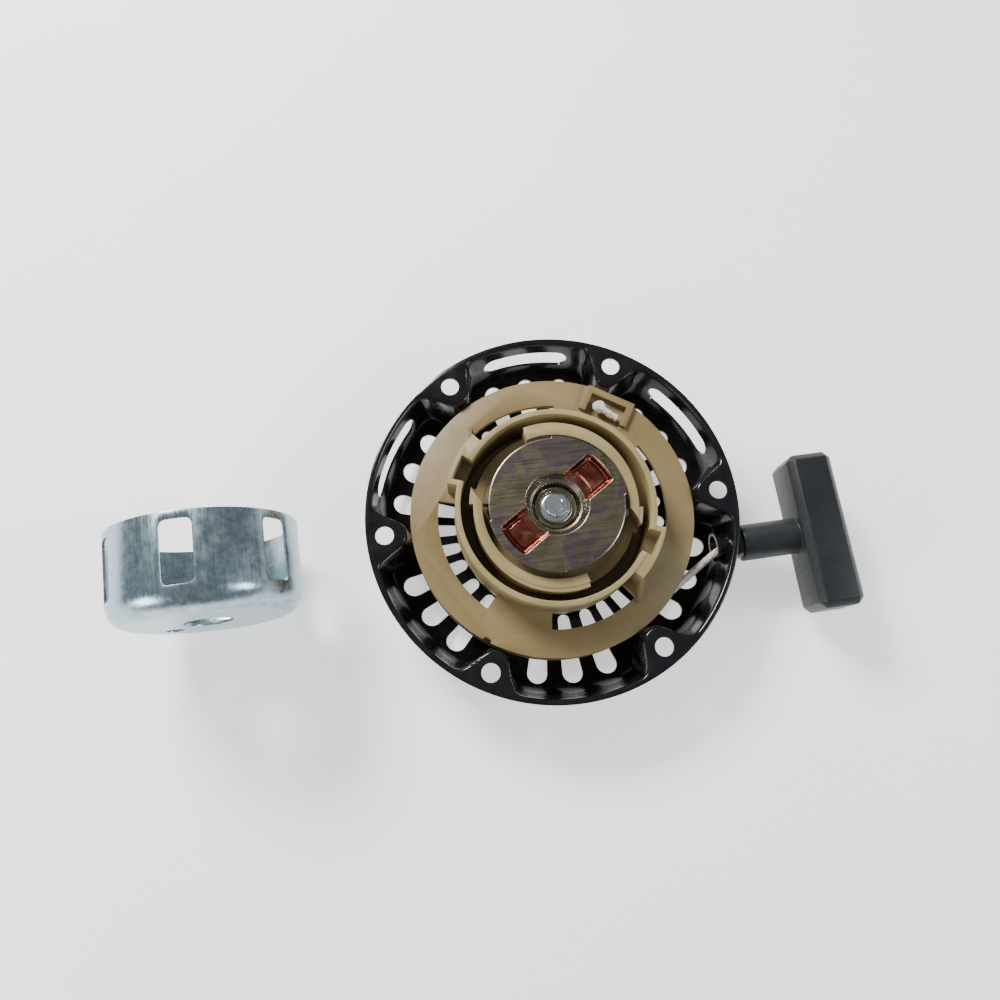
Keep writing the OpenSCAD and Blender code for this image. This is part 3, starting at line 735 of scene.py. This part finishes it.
def rope_mesh(name, path, radius=ROPE_R, sides=32, step=0.3 * MM, closed=False):
    """A braided rope along a path of 3-D points, with the braid's height kept as an attribute."""
    path = np.array(path, float)
    if closed:
        path = np.vstack([path, path[:1]])
    run = np.concatenate([[0], np.cumsum(np.linalg.norm(np.diff(path, axis=0), axis=1))])
    count = max(int(run[-1] / step), 4)
    marks = np.linspace(0, run[-1], count + 1)
    line = np.stack([np.interp(marks, run, path[:, i]) for i in range(3)], axis=1)
    if closed:
        line = line[:-1]
    else:
        for _ in range(3):
            line[1:-1] = (line[:-2] + 2 * line[1:-1] + line[2:]) / 4
    rows = len(line)
    tangents = np.roll(line, -1, axis=0) - np.roll(line, 1, axis=0)
    if not closed:
        tangents[0], tangents[-1] = line[1] - line[0], line[-1] - line[-2]
    tangents /= np.linalg.norm(tangents, axis=1)[:, None]
    side = np.cross(tangents[0], (0.13, 0.21, 0.97))
    points, heights = [], []
    pitch = 2.4 * radius
    for i in range(rows):
        side = side - tangents[i] * np.dot(side, tangents[i])
        side /= np.linalg.norm(side)
        up = np.cross(tangents[i], side)
        for k in range(sides):
            a = 2 * math.pi * k / sides
            h = braid(a, math.pi * marks[i] / pitch)
            r = radius * (0.86 + 0.14 * h)
            points.append(line[i] + r * (math.cos(a) * side + math.sin(a) * up))
            heights.append(h)
    faces = grid_faces(rows, sides, wrap_columns=True, wrap_rows=closed)
    if not closed:
        faces += [tuple(range(sides))[::-1], tuple((rows - 1) * sides + k for k in range(sides))]
    mesh = mesh_of(name, points, faces)
    # the braid height also sets the rope material's painted shade in the hollows
    attribute = mesh.attributes.new("braid", "FLOAT", "POINT")
    attribute.data.foreach_set("value", heights)
    return mesh


def winding_mesh():
    """The wound rope: turns side by side in the groove, each with its braid."""
    low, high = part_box("rope_winding")
    outer, inner = high.x, high.x - 4.6 * MM
    turns = 3
    width = (high.z - low.z) / turns
    steps, per_turn = 720, 12
    points, heights = [], []
    for k in range(steps):
        a = 2 * math.pi * k / steps
        # braid height 0 at the groove side, which the rope material paints in its darkest shade
        row = [(inner, low.z, 0.0)]
        for t in range(turns):
            for i in range(per_turn + 1):
                bend = math.pi * i / per_turn
                h = braid(bend * 0.5, 150 * a + t)
                r = outer - width / 2 + width / 2 * math.sin(bend) * (0.9 + 0.1 * h)
                row.append((r, low.z + width * (t + 0.5) - width / 2 * math.cos(bend), h))
        row.append((inner, high.z, 0.0))
        for r, z, h in row:
            points.append((r * math.cos(a), r * math.sin(a), z))
            heights.append(h)
    columns = len(points) // steps
    mesh = mesh_of("rope_turns", points, grid_faces(steps, columns, wrap_columns=True, wrap_rows=True))
    # the braid height also sets the rope material's painted shade in the hollows
    attribute = mesh.attributes.new("braid", "FLOAT", "POINT")
    attribute.data.foreach_set("value", heights)
    return mesh


def make_rope():
    winding = link("rope_turns", winding_mesh(), 60)
    finish_piece(winding, ROPE, "rope", "reel", "rope_winding")
    # Route from the winding to the eyelet, as in the CAD model, started on the wound turns
    z = PULL_Z
    route = [(35, -51.4), (40, -48.3), (47, -44), (53.5, -40), (60, -35.9), (66, -32.2), (71, -29.2),
             (75, -27), (78.5, -25.6), (81.5, -24.9), (EYELET_BOX[1].x / MM - 1, PULL_Y / MM)]
    span = link("rope_run", rope_mesh("rope_run", [(x * MM, y * MM, z) for x, y in route]), 60)
    finish_piece(span, ROPE, "rope", "housing", "rope_span")
    start = EYELET_BOX[1].x - 1 * MM
    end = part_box("handle_knot")[0].x + 1 * MM
    line = [(start, PULL_Y, z), (end, PULL_Y, z)]
    pull = link("rope_pull", rope_mesh("rope_pull", line, step=0.25 * MM), 60)
    pull.data.materials.append(ROPE)
    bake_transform(pull)
    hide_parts("handle_rope")
    knot_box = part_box("rope_knot")
    middle = (knot_box[0] + knot_box[1]) / 2
    knot = link("reel_knot", rope_mesh("reel_knot", knot_route(middle)), 60)
    finish_piece(knot, ROPE, "rope", "reel", "rope_knot")
    handle_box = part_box("handle_knot")
    middle = (handle_box[0] + handle_box[1]) / 2
    finish_piece(link("grip_knot", knot_mesh("grip_knot", middle, 0.8, math.radians(90)), 60),
                 ROPE, "rope", "handle", "handle_knot")


def knot_route(middle):
    """The reel's knot: two turns at one end of the tray, then the tail along it."""
    along = Vector((-middle.y, middle.x, 0)).normalized()
    outward = Vector((middle.x, middle.y, 0)).normalized()
    up = Vector((0, 0, 1))
    path = []
    for i in range(61):
        t = 4 * math.pi * i / 60
        done = i / 60
        place = (along * (2.6 + 1.3 * math.cos(t) + 1.1 * done) + outward * 1.5 * math.sin(t)
                 + up * (1.6 * done - 0.8))
        path.append(tuple(middle + place * MM))
    for i in range(1, 13):
        place = (along * (5.0 - 0.98 * i) - outward * 1.3 * math.sin(math.pi * i / 24)
                 + up * (0.8 - 0.12 * i))
        path.append(tuple(middle + place * MM))
    return path


def knot_mesh(name, middle, size, turn):
    """A pulled-tight overhand knot: the trefoil, turned into place."""
    scale = 1.75 * MM * size
    path = []
    for i in range(120):
        t = 2 * math.pi * i / 120
        x = math.sin(t) + 2 * math.sin(2 * t)
        y = math.cos(t) - 2 * math.cos(2 * t)
        place = Vector((x * scale, y * scale * 0.75, -math.sin(3 * t) * scale))
        place = Matrix.Rotation(turn, 3, "Z") @ place
        path.append(tuple(Vector(middle) + place))
    return rope_mesh(name, path, radius=ROPE_R * size, sides=24, closed=True)


# ---------------------------------------------------------------- handle

def make_handle():
    grip = copy_of_node("handle_grip", "grip_moulding")
    round_edges(grip, 0.9 * MM, 3, 30)
    shade(grip, 35)
    finish_piece(grip, GRIP, "grip_plastic", "handle", "handle_grip")


# ---------------------------------------------------------------- starter cup

def make_cup():
    cup = copy_of_node("starter_cup", "cup_drawing")
    round_edges(cup, 0.3 * MM, 2, 40)
    shade(cup, 35)
    finish_piece(cup, CUP, "cup_zinc", "cup", "starter_cup")


# ---------------------------------------------------------------- pieces that keep their CAD shape

def dress_nodes():
    finishes = {
        "centre_post": TURNED, "thrust_washer": TURNED, "guide_bush": TURNED, "rope_guide": PAINT,
        "recoil_spring": BLUED, "pawl_spring_a": BLUED, "pawl_spring_b": BLUED, "friction_spring": BLUED,
        "pawl_a": PAWL, "pawl_b": PAWL, "handle_washer": TURNED,
    }
    for node, material in finishes.items():
        mesh = frame["nodes"][node].data
        mesh.materials.clear()
        mesh.materials.append(material)


make_camera()
make_studio()
make_floor()
make_housing()
make_guide()
make_bolt()
make_reel()
make_rope()
make_handle()
make_cup()
dress_nodes()
